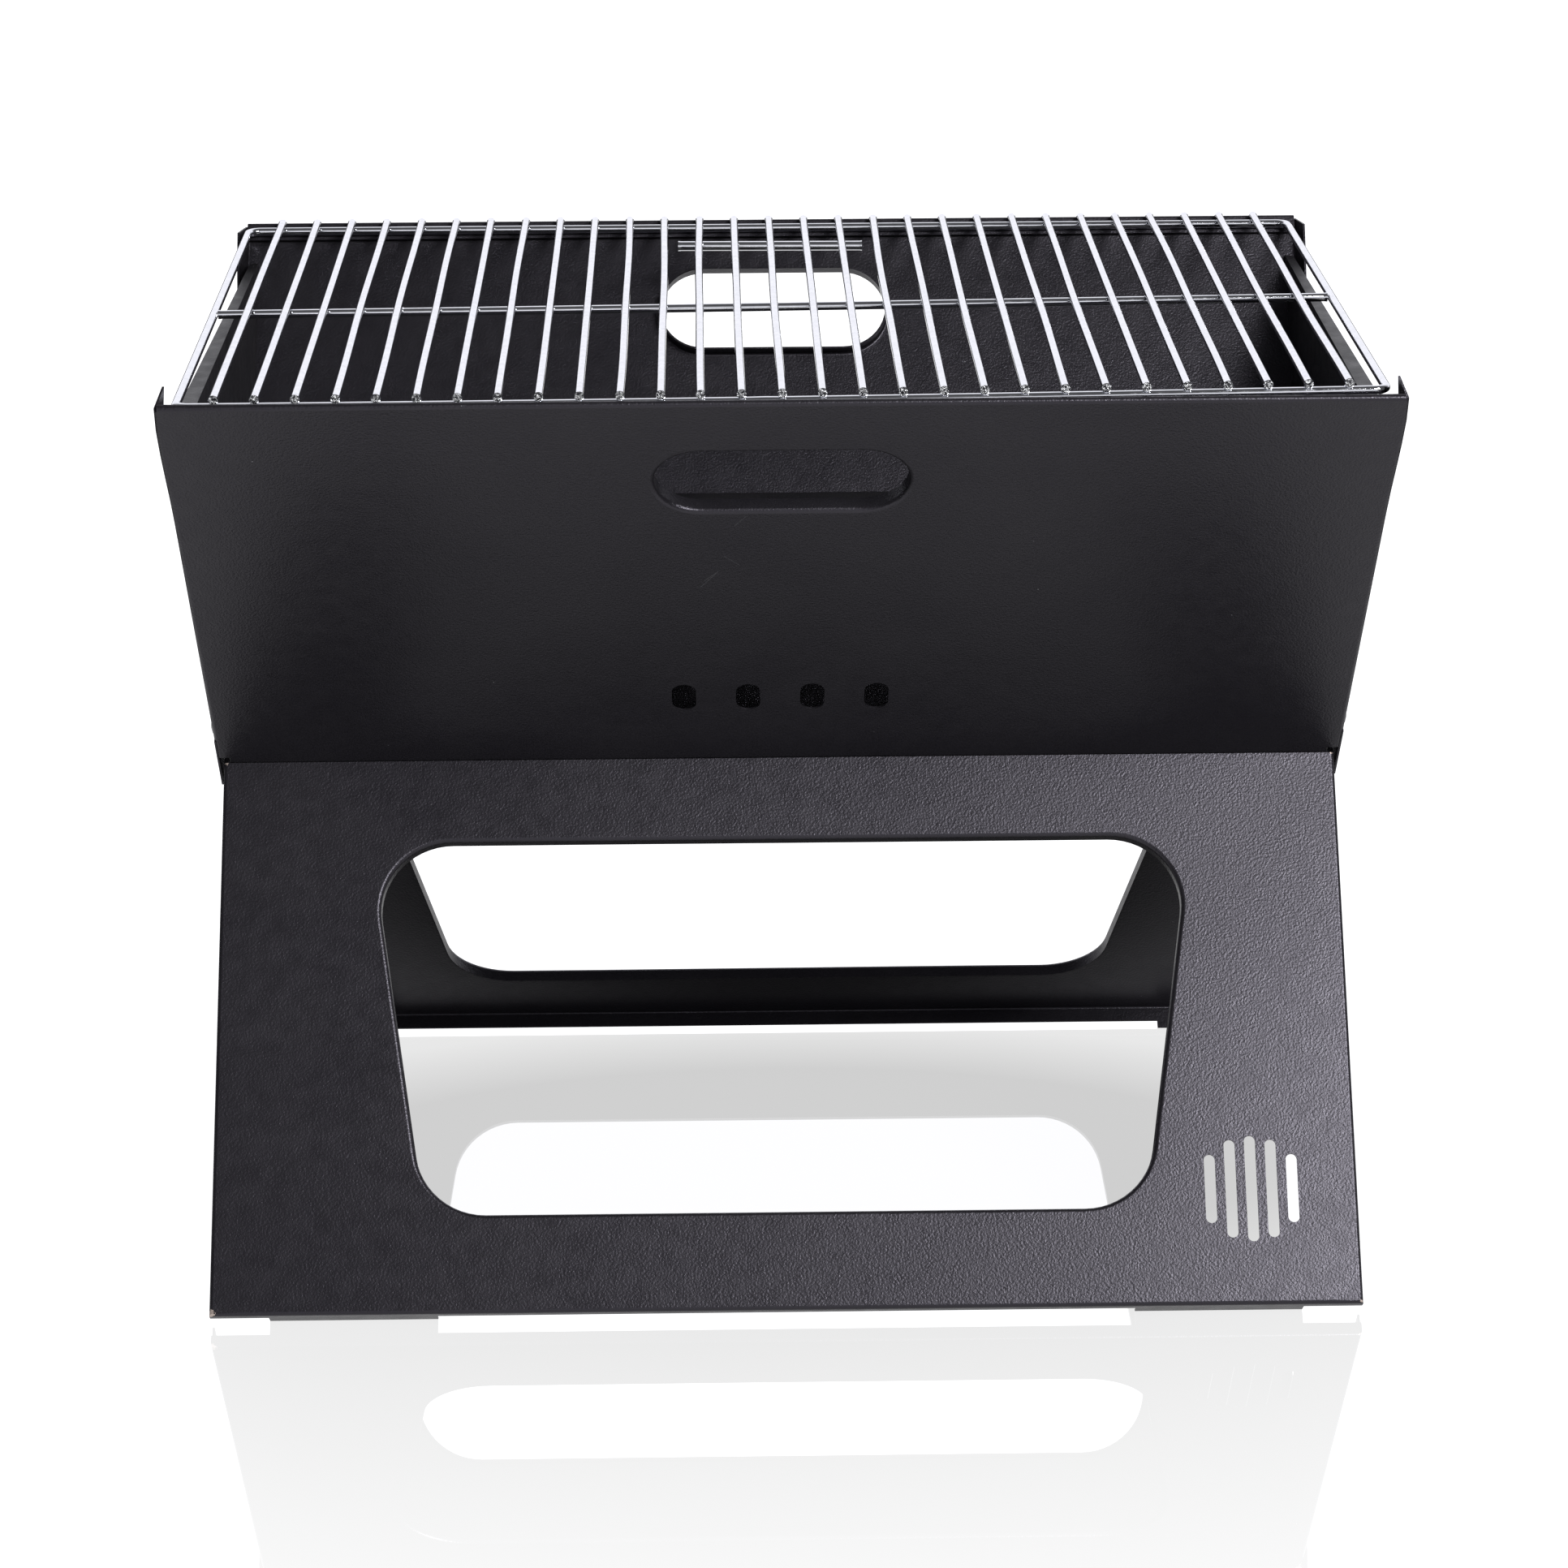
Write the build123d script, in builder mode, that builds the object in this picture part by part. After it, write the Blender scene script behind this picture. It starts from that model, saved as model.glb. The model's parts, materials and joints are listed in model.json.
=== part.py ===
from build123d import *
from math import cos, radians, sin, tan
import os

# Folding camp grill: two sheet-steel frames cross on side rivets and open into an X.
# The upper half of the X is a V-shaped fire trough, the lower half is the stand.
# Frame: +X to the right, +Y to the back, +Z up, origin on the ground under the middle.

# ---- driving dimensions, millimetres and degrees ----
WIDTH = 450.0                 # over the side flanges of the front upper panel
SHEET = 0.8                   # steel sheet thickness
LEAN = 37.5                   # each frame's lean from the vertical when open
HALF_CASE = 12.0              # half the thickness of the folded case
UPPER_LENGTH = 238.0          # pivot to the top edge, along a panel
LOWER_LENGTH = 233.7          # pivot to the bottom bend, along a panel
SIDE_FLANGE = 10.0            # depth of the side flanges from the outer face
FOOT_FLANGE = 10.8            # depth of the bottom flanges at the feet
FOOT_TRIM = 1.1               # extra depth, trimmed level with the ground
# Each bottom flange stands on two feet: a foot's middle, its width, and the flange's depth beside it.
FRONT_FEET = (167.5, 65.0, 5.0)
REAR_FEET = (192.0, 42.0, 7.8)
BEND_RADIUS = 1.6             # outer radius of every sheet bend
WASHER_SPACE = 0.8            # between the two frames' ears
WASHER_THICKNESS = 0.7
AXIAL_GAP = 0.1
CLEARANCE = 0.3               # gap between faces that pass each other

# Half widths of the four panels: their flanges lie side by side on the pivot.
FRONT_UPPER_HALF = WIDTH / 2
REAR_LOWER_HALF = FRONT_UPPER_HALF - SHEET
FRONT_LOWER_HALF = REAR_LOWER_HALF - SHEET - WASHER_SPACE
REAR_UPPER_HALF = FRONT_LOWER_HALF - SHEET

# Panel ends beside the pivot.
CROSSING = HALF_CASE * tan(radians(LEAN))    # where the outer faces of two panels meet
UPPER_START = CROSSING - 3.9                 # an upper panel tucks in behind the lower one
LOWER_START = CROSSING + CLEARANCE
EAR_RADIUS = 8.5
TONGUE_END = -7.0             # the outer ear's tongue, past the pivot
STRAP_LENGTH = 34.0
EAR_BLEND = 24.0              # how far up a flange its ear starts to widen
STRAP_END = 9.2               # outward reach of a strap, inside the bend
NOTCH_START = 219.5           # relief in the front upper panel beside the inner ears
NOTCH_END = 12.5

# Rolled top edge.
HEM_THICKNESS = 3.0
HEM_LEAF = 8.2
HEM_END_INSET = 1.2
REAR_FLANGE_DROP = 8.0        # the rear flanges' top ends are cut level

# Hand slot, air holes, stand window and vent.
HAND_SLOT_LENGTH = 94.0
HAND_SLOT_HEIGHT = 35.8
FRONT_SLOT_CENTRE = 191.8
REAR_SLOT_CENTRE = 195.5
RIM_RADIUS = 1.8
RIM_DEPTH = 6.0
RELIEF_DEPTH = 1.0            # how far a rim's relief cut runs past the rim
AIR_HOLE_COUNT = 4
AIR_HOLE_PITCH = 25.2
AIR_HOLE_WIDTH = 9.5
AIR_HOLE_HEIGHT = 17.5
AIR_HOLE_CENTRE = 52.2
WINDOW_TOP = 43.5
WINDOW_BOTTOM = 195.0
WINDOW_TOP_HALF = 163.3
WINDOW_BOTTOM_HALF = 140.3
WINDOW_CORNER = 28.0
VENT_X = 181.3
VENT_CENTRE = 188.0
VENT_RADIUS = 21.0
VENT_SLOTS = 5
VENT_PITCH = 8.0
VENT_SLOT_WIDTH = 4.4

# Rivets.
PIVOT_RADIUS = 2.5
PIVOT_FIT = 0.05
PIVOT_HEAD_RADIUS = 5.0
PIVOT_HEAD_HEIGHT = 1.8
WASHER_RADIUS = 7.0
RIVET_RADIUS = 1.6
RIVET_HEAD_RADIUS = 3.2
RIVET_HEAD_HEIGHT = 1.0
RIVET_ALONG = 27.0
RIVET_DEPTH = 6.0

# Cooking grid.
ROD_COUNT = 29
ROD_PITCH = 14.6
ROD_RADIUS = 1.6
ROD_HALF_LENGTH = 149.2
RAIL_RADIUS = 1.7
RAIL_HALF_WIDTH = 218.5
RAIL_HALF_DEPTH = 147.5
RAIL_CORNER = 5.0
WELD_SINK = 0.15
MIDDLE_BAR_Y = 1.0
GRIP_BAR_LENGTH = 76.0
GRIP_BAR_RADIUS = 2.0
GRIP_BAR_Y = 113.0

# Charcoal insert: a slotted grate with an end plate hinged at each end.
GRATE_HEIGHT = 84.0           # grate above the pivot
GRATE_HALF_LENGTH = 210.0
GRATE_LIP = 10.0
GRATE_GAP = 1.0
GRATE_SLOT_LENGTH = 18.0
GRATE_SLOT_WIDTH = 5.0
GRATE_COLUMNS = 15
GRATE_ROWS = 7
GRATE_COLUMN_PITCH = 26.0
GRATE_ROW_PITCH = 19.0
END_PLATE_X = 216.6           # inner face of the end plates
END_PLATE_HEIGHT = 84.0
END_PLATE_GAP = 1.2
END_LIP_FRONT = 6.6
END_LIP_REAR = 3.4
HINGE_PIN_RADIUS = 1.2
HINGE_FIT = 0.1
KNUCKLE_RADIUS = 2.3
KNUCKLE_LENGTH = 20.0
KNUCKLE_COUNT = 5
KNUCKLE_GAP = 0.4
HINGE_X = 213.6

ALIGNED = 0.99                # cosine above which two directions count as parallel
LEAN_SIN = sin(radians(LEAN))
LEAN_COS = cos(radians(LEAN))
FOOT_EDGE = HALF_CASE - FOOT_FLANGE
PIVOT_Z = LOWER_LENGTH * LEAN_COS - FOOT_EDGE * LEAN_SIN
ROLL_RADIUS = HEM_THICKNESS / 2
PIVOT = (0, 0, PIVOT_Z)

# Each panel's plane starts at the pivot: its Y runs along the panel away from the
# pivot, and its Z points out of the panel's outer face.
FRONT_UPPER = Plane(origin=PIVOT, x_dir=(1, 0, 0), z_dir=(0, -LEAN_COS, -LEAN_SIN))
REAR_UPPER = Plane(origin=PIVOT, x_dir=(-1, 0, 0), z_dir=(0, LEAN_COS, -LEAN_SIN))
FRONT_LOWER = Plane(origin=PIVOT, x_dir=(-1, 0, 0), z_dir=(0, -LEAN_COS, LEAN_SIN))
REAR_LOWER = Plane(origin=PIVOT, x_dir=(1, 0, 0), z_dir=(0, LEAN_COS, LEAN_SIN))
GRATE_Z = PIVOT_Z + GRATE_HEIGHT
HINGE_Z = GRATE_Z - KNUCKLE_RADIUS
END_PLATE_TOP = GRATE_Z + END_PLATE_HEIGHT

# The cooking grid's frame wire settles between the rolled edges, just clear of their inner sides.
RAIL_OUT = HALF_CASE - HEM_THICKNESS - CLEARANCE - RAIL_RADIUS
RAIL_Z = PIVOT_Z + (RAIL_HALF_DEPTH * LEAN_COS - RAIL_OUT) / LEAN_SIN
ROD_Z = RAIL_Z + RAIL_RADIUS + ROD_RADIUS - WELD_SINK


def side_plane(panel, x):
    """Plane across the pivot axis at x: its X runs along the panel, its Y outward."""
    return Plane(origin=panel.origin + panel.x_dir * x, x_dir=panel.y_dir, z_dir=panel.x_dir)


def trough_half(height):
    """Half width of the V between the upper panels, at a height above the ground."""
    return (HALF_CASE - SHEET) / LEAN_COS + (height - PIVOT_Z) * LEAN_SIN / LEAN_COS


def facing(direction):
    """Filter for the flat faces whose normal is a direction."""
    return lambda face: face.normal_at().dot(direction) > ALIGNED


def along(direction):
    """Filter for the straight edges that run along a direction."""
    return lambda edge: abs(edge.tangent_at(0.5).dot(direction)) > ALIGNED


def save(piece, name):
    """Label one finished piece and write its file."""
    piece.label = name
    export_step(piece, "parts/" + name + ".step")


def pan(panel, half_width, start, end, foot):
    """Bent sheet pan on a panel plane, open at the pivot end and on the inner side."""
    depth = FOOT_FLANGE + FOOT_TRIM if foot else SIDE_FLANGE
    with BuildPart() as body:
        with BuildSketch(panel.offset(HALF_CASE - depth)):
            with Locations((0, (start + end) / 2)):
                Rectangle(2 * half_width, end - start)
        extrude(amount=depth)
        face = body.faces().filter_by(facing(panel.z_dir))[0]
        bends = face.edges().filter_by(along(panel.y_dir))
        if foot:
            bends += face.edges().filter_by(along(panel.x_dir)).sort_by(Axis.Z)[0:1]
        fillet(bends, BEND_RADIUS)
        openings = body.faces().filter_by(facing(-panel.z_dir))
        openings += body.faces().filter_by(facing(-panel.y_dir))
        if not foot:
            openings += body.faces().filter_by(facing(panel.y_dir))
        offset(amount=-SHEET, openings=openings)
        if foot:
            with BuildSketch(panel.offset(HALF_CASE - depth)):
                with Locations((0, start)):
                    Rectangle(2 * WIDTH, 2 * (LOWER_LENGTH - 2 * BEND_RADIUS - start))
            extrude(amount=depth - SIDE_FLANGE, mode=Mode.SUBTRACT)
    return body.part


def window_outline(grow):
    """Stand window outline, its corners rounded, grown outward by an amount."""
    with BuildSketch(mode=Mode.PRIVATE) as outline:
        with BuildLine():
            Polyline(
                (-WINDOW_TOP_HALF, WINDOW_TOP),
                (WINDOW_TOP_HALF, WINDOW_TOP),
                (WINDOW_BOTTOM_HALF, WINDOW_BOTTOM),
                (-WINDOW_BOTTOM_HALF, WINDOW_BOTTOM),
                close=True,
            )
        make_face()
        fillet(outline.vertices(), WINDOW_CORNER)
        if grow > 0:
            offset(amount=grow)
    return outline.sketch


def slot_outline(centre):
    """Outline maker for a hand slot whose middle is a distance from the pivot."""
    def outline(grow):
        """Hand slot outline, grown outward by an amount."""
        with BuildSketch(mode=Mode.PRIVATE) as slot:
            with Locations((0, centre)):
                SlotOverall(HAND_SLOT_LENGTH + 2 * grow, HAND_SLOT_HEIGHT + 2 * grow)
        return slot.sketch
    return outline


def rim_backing(panel, outline):
    """Solid ring behind an opening, from which its turned-in rim is cut."""
    with BuildPart() as ring:
        with BuildSketch(panel.offset(HALF_CASE - RIM_DEPTH)):
            add(outline(RIM_RADIUS + SHEET))
        extrude(amount=RIM_DEPTH - SHEET / 2)
    return ring.part


def rim_relief(panel, outline):
    """What is cut from the ring so that only a thin curved rim is left."""
    with BuildPart() as relief:
        with BuildSketch(panel.offset(HALF_CASE - RIM_DEPTH - RELIEF_DEPTH)):
            add(outline(2 * RIM_RADIUS))
            add(outline(SHEET), mode=Mode.SUBTRACT)
        extrude(amount=RIM_DEPTH + RELIEF_DEPTH - SHEET)
        top = relief.faces().filter_by(facing(panel.z_dir))[0]
        fillet(top.inner_wires()[0].edges(), RIM_RADIUS - SHEET)
    return relief.part


def straight_cut(panel, outline):
    """Straight cut through a panel, of an outline's shape."""
    with BuildPart() as cut:
        with BuildSketch(panel.offset(-HALF_CASE)):
            add(outline(0))
        extrude(amount=3 * HALF_CASE)
    return cut.part


def rimmed(blank, panel, outline):
    """A panel with one opening cut in it, its rim rolled inward."""
    ring = rim_backing(panel, outline)
    relief = rim_relief(panel, outline)
    cut = straight_cut(panel, outline)
    with BuildPart() as body:
        add(blank)
        add(ring)
        add(cut, mode=Mode.SUBTRACT)
        face = body.faces().filter_by(facing(panel.z_dir)).sort_by(SortBy.AREA)[-1]
        opening = face.inner_wires().sort_by(SortBy.LENGTH)[-1]
        fillet(opening.edges(), RIM_RADIUS)
        add(relief, mode=Mode.SUBTRACT)
    return body.part


def hem(panel, half_width):
    """Rolled-over top edge of an upper panel, open below like a folded sheet."""
    with BuildPart() as roll:
        with BuildSketch(side_plane(panel, -half_width)):
            with Locations((UPPER_LENGTH - HEM_LEAF / 2, HALF_CASE - ROLL_RADIUS)):
                Rectangle(HEM_LEAF, HEM_THICKNESS)
        extrude(amount=2 * half_width)
        crest = roll.faces().filter_by(facing(panel.y_dir))[0]
        fillet(crest.edges().filter_by(along(panel.x_dir)), ROLL_RADIUS - SHEET / 8)
        with BuildSketch(side_plane(panel, -half_width)):
            with Locations((UPPER_LENGTH - HEM_LEAF / 2 - SHEET, HALF_CASE - ROLL_RADIUS)):
                SlotOverall(HEM_LEAF, HEM_THICKNESS - 2 * SHEET)
            with Locations((UPPER_LENGTH - HEM_LEAF, HALF_CASE - ROLL_RADIUS)):
                Rectangle(HEM_LEAF, HEM_THICKNESS - 2 * SHEET)
        extrude(amount=2 * half_width, mode=Mode.SUBTRACT)
    return roll.part


def ears(panel, half_width, start, tongue, strap):
    """Pivot ears in the plane of a pan's side flanges, one at each side."""
    with BuildPart() as pair:
        for x in (-half_width, half_width - SHEET):
            with BuildSketch(side_plane(panel, x)) as outline:
                Circle(EAR_RADIUS)
                with Locations(((start + EAR_BLEND) / 2, HALF_CASE - SIDE_FLANGE / 2 - BEND_RADIUS / 2)):
                    Rectangle(EAR_BLEND - start, SIDE_FLANGE - BEND_RADIUS)
                make_hull()
                if tongue:
                    with Locations(((TONGUE_END + EAR_BLEND) / 2, HALF_CASE - SIDE_FLANGE / 2)):
                        Rectangle(EAR_BLEND - TONGUE_END, SIDE_FLANGE)
                if strap:
                    with Locations((-STRAP_LENGTH / 2, -(STRAP_END + HALF_CASE - SIDE_FLANGE) / 2)):
                        Rectangle(STRAP_LENGTH, STRAP_END - HALF_CASE + SIDE_FLANGE)
                Circle(PIVOT_RADIUS + PIVOT_FIT, mode=Mode.SUBTRACT)
                if strap:
                    with Locations((-RIVET_ALONG, -RIVET_DEPTH)):
                        Circle(RIVET_RADIUS + PIVOT_FIT, mode=Mode.SUBTRACT)
                else:
                    with Locations((RIVET_ALONG, RIVET_DEPTH)):
                        Circle(RIVET_RADIUS + PIVOT_FIT, mode=Mode.SUBTRACT)
            extrude(amount=SHEET)
    return pair.part


def flange_holes(panel, half_width):
    """Cutters for the pivot and rivet holes through a pan's side flanges."""
    with BuildPart() as holes:
        for x in (-half_width, half_width - SHEET):
            with BuildSketch(side_plane(panel, x)):
                Circle(PIVOT_RADIUS + PIVOT_FIT)
                with Locations((RIVET_ALONG, RIVET_DEPTH)):
                    Circle(RIVET_RADIUS + PIVOT_FIT)
            extrude(amount=SHEET)
    return holes.part


def level_feet():
    """Block under the ground, which trims the feet level."""
    with BuildPart() as ground:
        with BuildSketch(Plane.XY):
            Rectangle(2 * WIDTH, 2 * WIDTH)
        extrude(amount=-HALF_CASE)
    return ground.part


def foot_gaps(panel, feet):
    """Cutters that leave a bottom flange deep only at its two feet."""
    foot_x, foot_width, flange = feet
    depth = FOOT_FLANGE + FOOT_TRIM
    with BuildPart() as gaps:
        with BuildSketch(panel.offset(HALF_CASE - depth)):
            with Locations((0, LOWER_LENGTH)):
                Rectangle(2 * WIDTH, 4 * BEND_RADIUS)
                with Locations((-foot_x, 0), (foot_x, 0)):
                    Rectangle(foot_width, 4 * BEND_RADIUS, mode=Mode.SUBTRACT)
        extrude(amount=depth - flange)
    return gaps.part


def rivet_pair(outer_x, inner_x, radius, head_radius, head_height, y, z, inner_gap):
    """A rivet at each side: shank from face to face, a domed head at each end."""
    with BuildPart() as pair:
        for side in (-1, 1):
            with BuildSketch(Plane.XZ.offset(-y)):
                with BuildLine():
                    Polyline(
                        (side * (inner_x - inner_gap), z),
                        (side * (inner_x - inner_gap), z + head_radius),
                        (side * (inner_x - inner_gap - head_height / 2), z + head_radius),
                        (side * (inner_x - inner_gap - head_height), z + head_radius / 2),
                        (side * (inner_x - inner_gap - head_height), z),
                        close=True,
                    )
                make_face()
                with BuildLine():
                    Polyline(
                        (side * outer_x, z),
                        (side * outer_x, z + head_radius),
                        (side * (outer_x + head_height / 2), z + head_radius),
                        (side * (outer_x + head_height), z + head_radius / 2),
                        (side * (outer_x + head_height), z),
                        close=True,
                    )
                make_face()
                with Locations((side * (outer_x + inner_x - inner_gap) / 2, z + radius / 2)):
                    Rectangle(outer_x - inner_x + inner_gap, radius)
            revolve(axis=Axis((0, y, z), (1, 0, 0)))
    return pair.part


def upper_panel(panel, half_width, tongue, slot_centre):
    """An upper panel: pan, rolled top edge, hand slot and air holes, with its ears."""
    blank = pan(panel, half_width, UPPER_START, UPPER_LENGTH - ROLL_RADIUS, False)
    roll = hem(panel, half_width - HEM_END_INSET)
    pivots = ears(panel, half_width, UPPER_START, tongue, False)
    holes = flange_holes(panel, half_width)
    with BuildPart() as body:
        add(blank)
        with BuildSketch(panel.offset(HALF_CASE - HEM_THICKNESS)):
            with Locations((0, UPPER_LENGTH - HEM_LEAF / 2)):
                Rectangle(2 * (half_width - HEM_END_INSET), HEM_LEAF)
        extrude(amount=HEM_THICKNESS, mode=Mode.SUBTRACT)
        add(roll)
        add(pivots)
        add(holes, mode=Mode.SUBTRACT)
        with BuildSketch(panel):
            with Locations((0, AIR_HOLE_CENTRE)):
                with GridLocations(AIR_HOLE_PITCH, 1, AIR_HOLE_COUNT, 1):
                    SlotOverall(AIR_HOLE_HEIGHT, AIR_HOLE_WIDTH, rotation=90)
        extrude(amount=2 * HALF_CASE, mode=Mode.SUBTRACT)
    return rimmed(body.part, panel, slot_outline(slot_centre))


def lower_panel(panel, half_width, feet):
    """A lower panel: pan with a foot flange and a large window, with its ears."""
    blank = pan(panel, half_width, LOWER_START, LOWER_LENGTH, True)
    pivots = ears(panel, half_width, LOWER_START, False, True)
    gaps = foot_gaps(panel, feet)
    ground = level_feet()
    with BuildPart() as body:
        add(blank)
        add(pivots)
        add(gaps, mode=Mode.SUBTRACT)
        add(ground, mode=Mode.SUBTRACT)
    return rimmed(body.part, panel, window_outline)


os.makedirs("parts", exist_ok=True)

# ---- outer frame: front upper and rear lower panels ----
front_upper_blank = upper_panel(FRONT_UPPER, FRONT_UPPER_HALF, True, FRONT_SLOT_CENTRE)
with BuildPart() as front_upper_panel:
    add(front_upper_blank)
    with BuildSketch(FRONT_UPPER):
        for side in (-1, 1):
            with Locations((side * (NOTCH_START + REAR_LOWER_HALF) / 2, 0)):
                Rectangle(REAR_LOWER_HALF - NOTCH_START, 2 * NOTCH_END)
    extrude(amount=2 * HALF_CASE, mode=Mode.SUBTRACT)
save(front_upper_panel.part, "front_upper_panel")

rear_lower_blank = lower_panel(REAR_LOWER, REAR_LOWER_HALF, REAR_FEET)
with BuildPart() as rear_lower_panel:
    add(rear_lower_blank)
save(rear_lower_panel.part, "rear_lower_panel")

# ---- inner frame: rear upper and front lower panels ----
rear_upper_blank = upper_panel(REAR_UPPER, REAR_UPPER_HALF, False, REAR_SLOT_CENTRE)
with BuildPart() as rear_upper_panel:
    add(rear_upper_blank)
    for x in (-REAR_UPPER_HALF, REAR_UPPER_HALF - HEM_END_INSET):
        with BuildSketch(side_plane(REAR_UPPER, x)):
            with BuildLine():
                Polyline(
                    (UPPER_LENGTH, HALF_CASE),
                    (UPPER_LENGTH - REAR_FLANGE_DROP, HALF_CASE - SIDE_FLANGE),
                    (UPPER_LENGTH, HALF_CASE - SIDE_FLANGE),
                    close=True,
                )
            make_face()
        extrude(amount=HEM_END_INSET, mode=Mode.SUBTRACT)
save(rear_upper_panel.part, "rear_upper_panel")

front_lower_blank = lower_panel(FRONT_LOWER, FRONT_LOWER_HALF, FRONT_FEET)
with BuildPart() as front_lower_panel:
    add(front_lower_blank)
    with BuildSketch(FRONT_LOWER):
        for index in range(VENT_SLOTS):
            step = (index - (VENT_SLOTS - 1) / 2) * VENT_PITCH
            reach = 2 * (VENT_RADIUS**2 - step**2) ** 0.5
            with Locations((-VENT_X + step, VENT_CENTRE)):
                SlotOverall(reach, VENT_SLOT_WIDTH, rotation=90)
    extrude(amount=2 * HALF_CASE, mode=Mode.SUBTRACT)
save(front_lower_panel.part, "front_lower_panel")

# ---- rivets and washers ----
FRONT_RIVET_Y = -RIVET_ALONG * LEAN_SIN - RIVET_DEPTH * LEAN_COS
RIVET_Z = PIVOT_Z + RIVET_ALONG * LEAN_COS - RIVET_DEPTH * LEAN_SIN
outer_rivets = rivet_pair(
    FRONT_UPPER_HALF, REAR_LOWER_HALF - SHEET, RIVET_RADIUS,
    RIVET_HEAD_RADIUS, RIVET_HEAD_HEIGHT, FRONT_RIVET_Y, RIVET_Z, 0,
)
save(outer_rivets, "outer_frame_rivets")

inner_rivets = rivet_pair(
    FRONT_LOWER_HALF, REAR_UPPER_HALF - SHEET, RIVET_RADIUS,
    RIVET_HEAD_RADIUS, RIVET_HEAD_HEIGHT, -FRONT_RIVET_Y, RIVET_Z, 0,
)
save(inner_rivets, "inner_frame_rivets")

pivot_rivets = rivet_pair(
    FRONT_UPPER_HALF, REAR_UPPER_HALF - SHEET, PIVOT_RADIUS,
    PIVOT_HEAD_RADIUS, PIVOT_HEAD_HEIGHT, 0, PIVOT_Z, AXIAL_GAP,
)
save(pivot_rivets, "pivot_rivets")

with BuildPart() as pivot_washers:
    for x in (-REAR_LOWER_HALF + SHEET, REAR_LOWER_HALF - SHEET - WASHER_THICKNESS):
        with BuildSketch(side_plane(FRONT_UPPER, x)):
            Circle(WASHER_RADIUS)
            Circle(PIVOT_RADIUS + PIVOT_FIT, mode=Mode.SUBTRACT)
        extrude(amount=WASHER_THICKNESS)
save(pivot_washers.part, "pivot_washers")

# ---- cooking grid ----
with BuildSketch(Plane.XY.offset(RAIL_Z)) as loop:
    RectangleRounded(2 * RAIL_HALF_WIDTH, 2 * RAIL_HALF_DEPTH, RAIL_CORNER)
loop_path = loop.sketch.wires()[0]
with BuildPart() as grid_frame_wire:
    with BuildSketch(Plane(origin=loop_path @ 0, z_dir=loop_path % 0)):
        Circle(RAIL_RADIUS)
    sweep(path=loop_path)
save(grid_frame_wire.part, "grid_frame_wire")

with BuildPart() as grid_rods:
    with BuildSketch(Plane.XZ.offset(-ROD_HALF_LENGTH)):
        with Locations((0, ROD_Z)):
            with GridLocations(ROD_PITCH, 1, ROD_COUNT, 1):
                Circle(ROD_RADIUS)
    extrude(amount=2 * ROD_HALF_LENGTH)
save(grid_rods.part, "grid_rods")

with BuildPart() as grid_middle_bar:
    with BuildSketch(Plane.YZ.offset(-RAIL_HALF_WIDTH + RAIL_RADIUS)):
        with Locations((MIDDLE_BAR_Y, RAIL_Z)):
            Circle(RAIL_RADIUS)
    extrude(amount=2 * (RAIL_HALF_WIDTH - RAIL_RADIUS))
save(grid_middle_bar.part, "grid_middle_bar")

with BuildPart() as grid_grip_bar:
    with BuildSketch(Plane.YZ.offset(-GRIP_BAR_LENGTH / 2)):
        with Locations((GRIP_BAR_Y, ROD_Z - ROD_RADIUS - GRIP_BAR_RADIUS + WELD_SINK)):
            Circle(GRIP_BAR_RADIUS)
    extrude(amount=GRIP_BAR_LENGTH)
save(grid_grip_bar.part, "grid_grip_bar")

# ---- charcoal insert ----
KNUCKLE_SPACING = KNUCKLE_LENGTH + KNUCKLE_GAP
KNUCKLE_PLACES = [(index - (KNUCKLE_COUNT - 1) / 2) * KNUCKLE_SPACING for index in range(KNUCKLE_COUNT)]
GRATE_HALF = trough_half(GRATE_Z) - GRATE_GAP
with BuildPart() as charcoal_grate:
    with BuildSketch(Plane.YZ.offset(-GRATE_HALF_LENGTH)):
        for inset, low in ((0, GRATE_LIP * LEAN_COS), (SHEET / LEAN_COS, GRATE_LIP)):
            drop = 0 if inset == 0 else SHEET
            shift = LEAN_SIN / LEAN_COS
            with BuildLine():
                Polyline(
                    (-GRATE_HALF + inset + drop * shift, GRATE_Z - drop),
                    (GRATE_HALF - inset - drop * shift, GRATE_Z - drop),
                    (GRATE_HALF - inset - low * shift, GRATE_Z - low),
                    (-GRATE_HALF + inset + low * shift, GRATE_Z - low),
                    close=True,
                )
            make_face(mode=Mode.ADD if inset == 0 else Mode.SUBTRACT)
    extrude(amount=2 * GRATE_HALF_LENGTH)
    with BuildSketch(Plane.XY.offset(GRATE_Z - SHEET)):
        with GridLocations(GRATE_COLUMN_PITCH, GRATE_ROW_PITCH, GRATE_COLUMNS, GRATE_ROWS):
            SlotOverall(GRATE_SLOT_LENGTH, GRATE_SLOT_WIDTH)
    extrude(amount=SHEET, mode=Mode.SUBTRACT)
    for y in KNUCKLE_PLACES[0::2]:
        for side in (-1, 1):
            with BuildSketch(Plane.XZ.offset(-y - KNUCKLE_LENGTH / 2)):
                with Locations((side * HINGE_X, HINGE_Z)):
                    Circle(KNUCKLE_RADIUS)
                with Locations((side * (HINGE_X + GRATE_HALF_LENGTH) / 2, GRATE_Z - SHEET / 2)):
                    Rectangle(HINGE_X - GRATE_HALF_LENGTH, SHEET)
                with Locations((side * HINGE_X, HINGE_Z)):
                    Circle(HINGE_PIN_RADIUS + HINGE_FIT, mode=Mode.SUBTRACT)
            extrude(amount=KNUCKLE_LENGTH)
save(charcoal_grate.part, "charcoal_grate")

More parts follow.
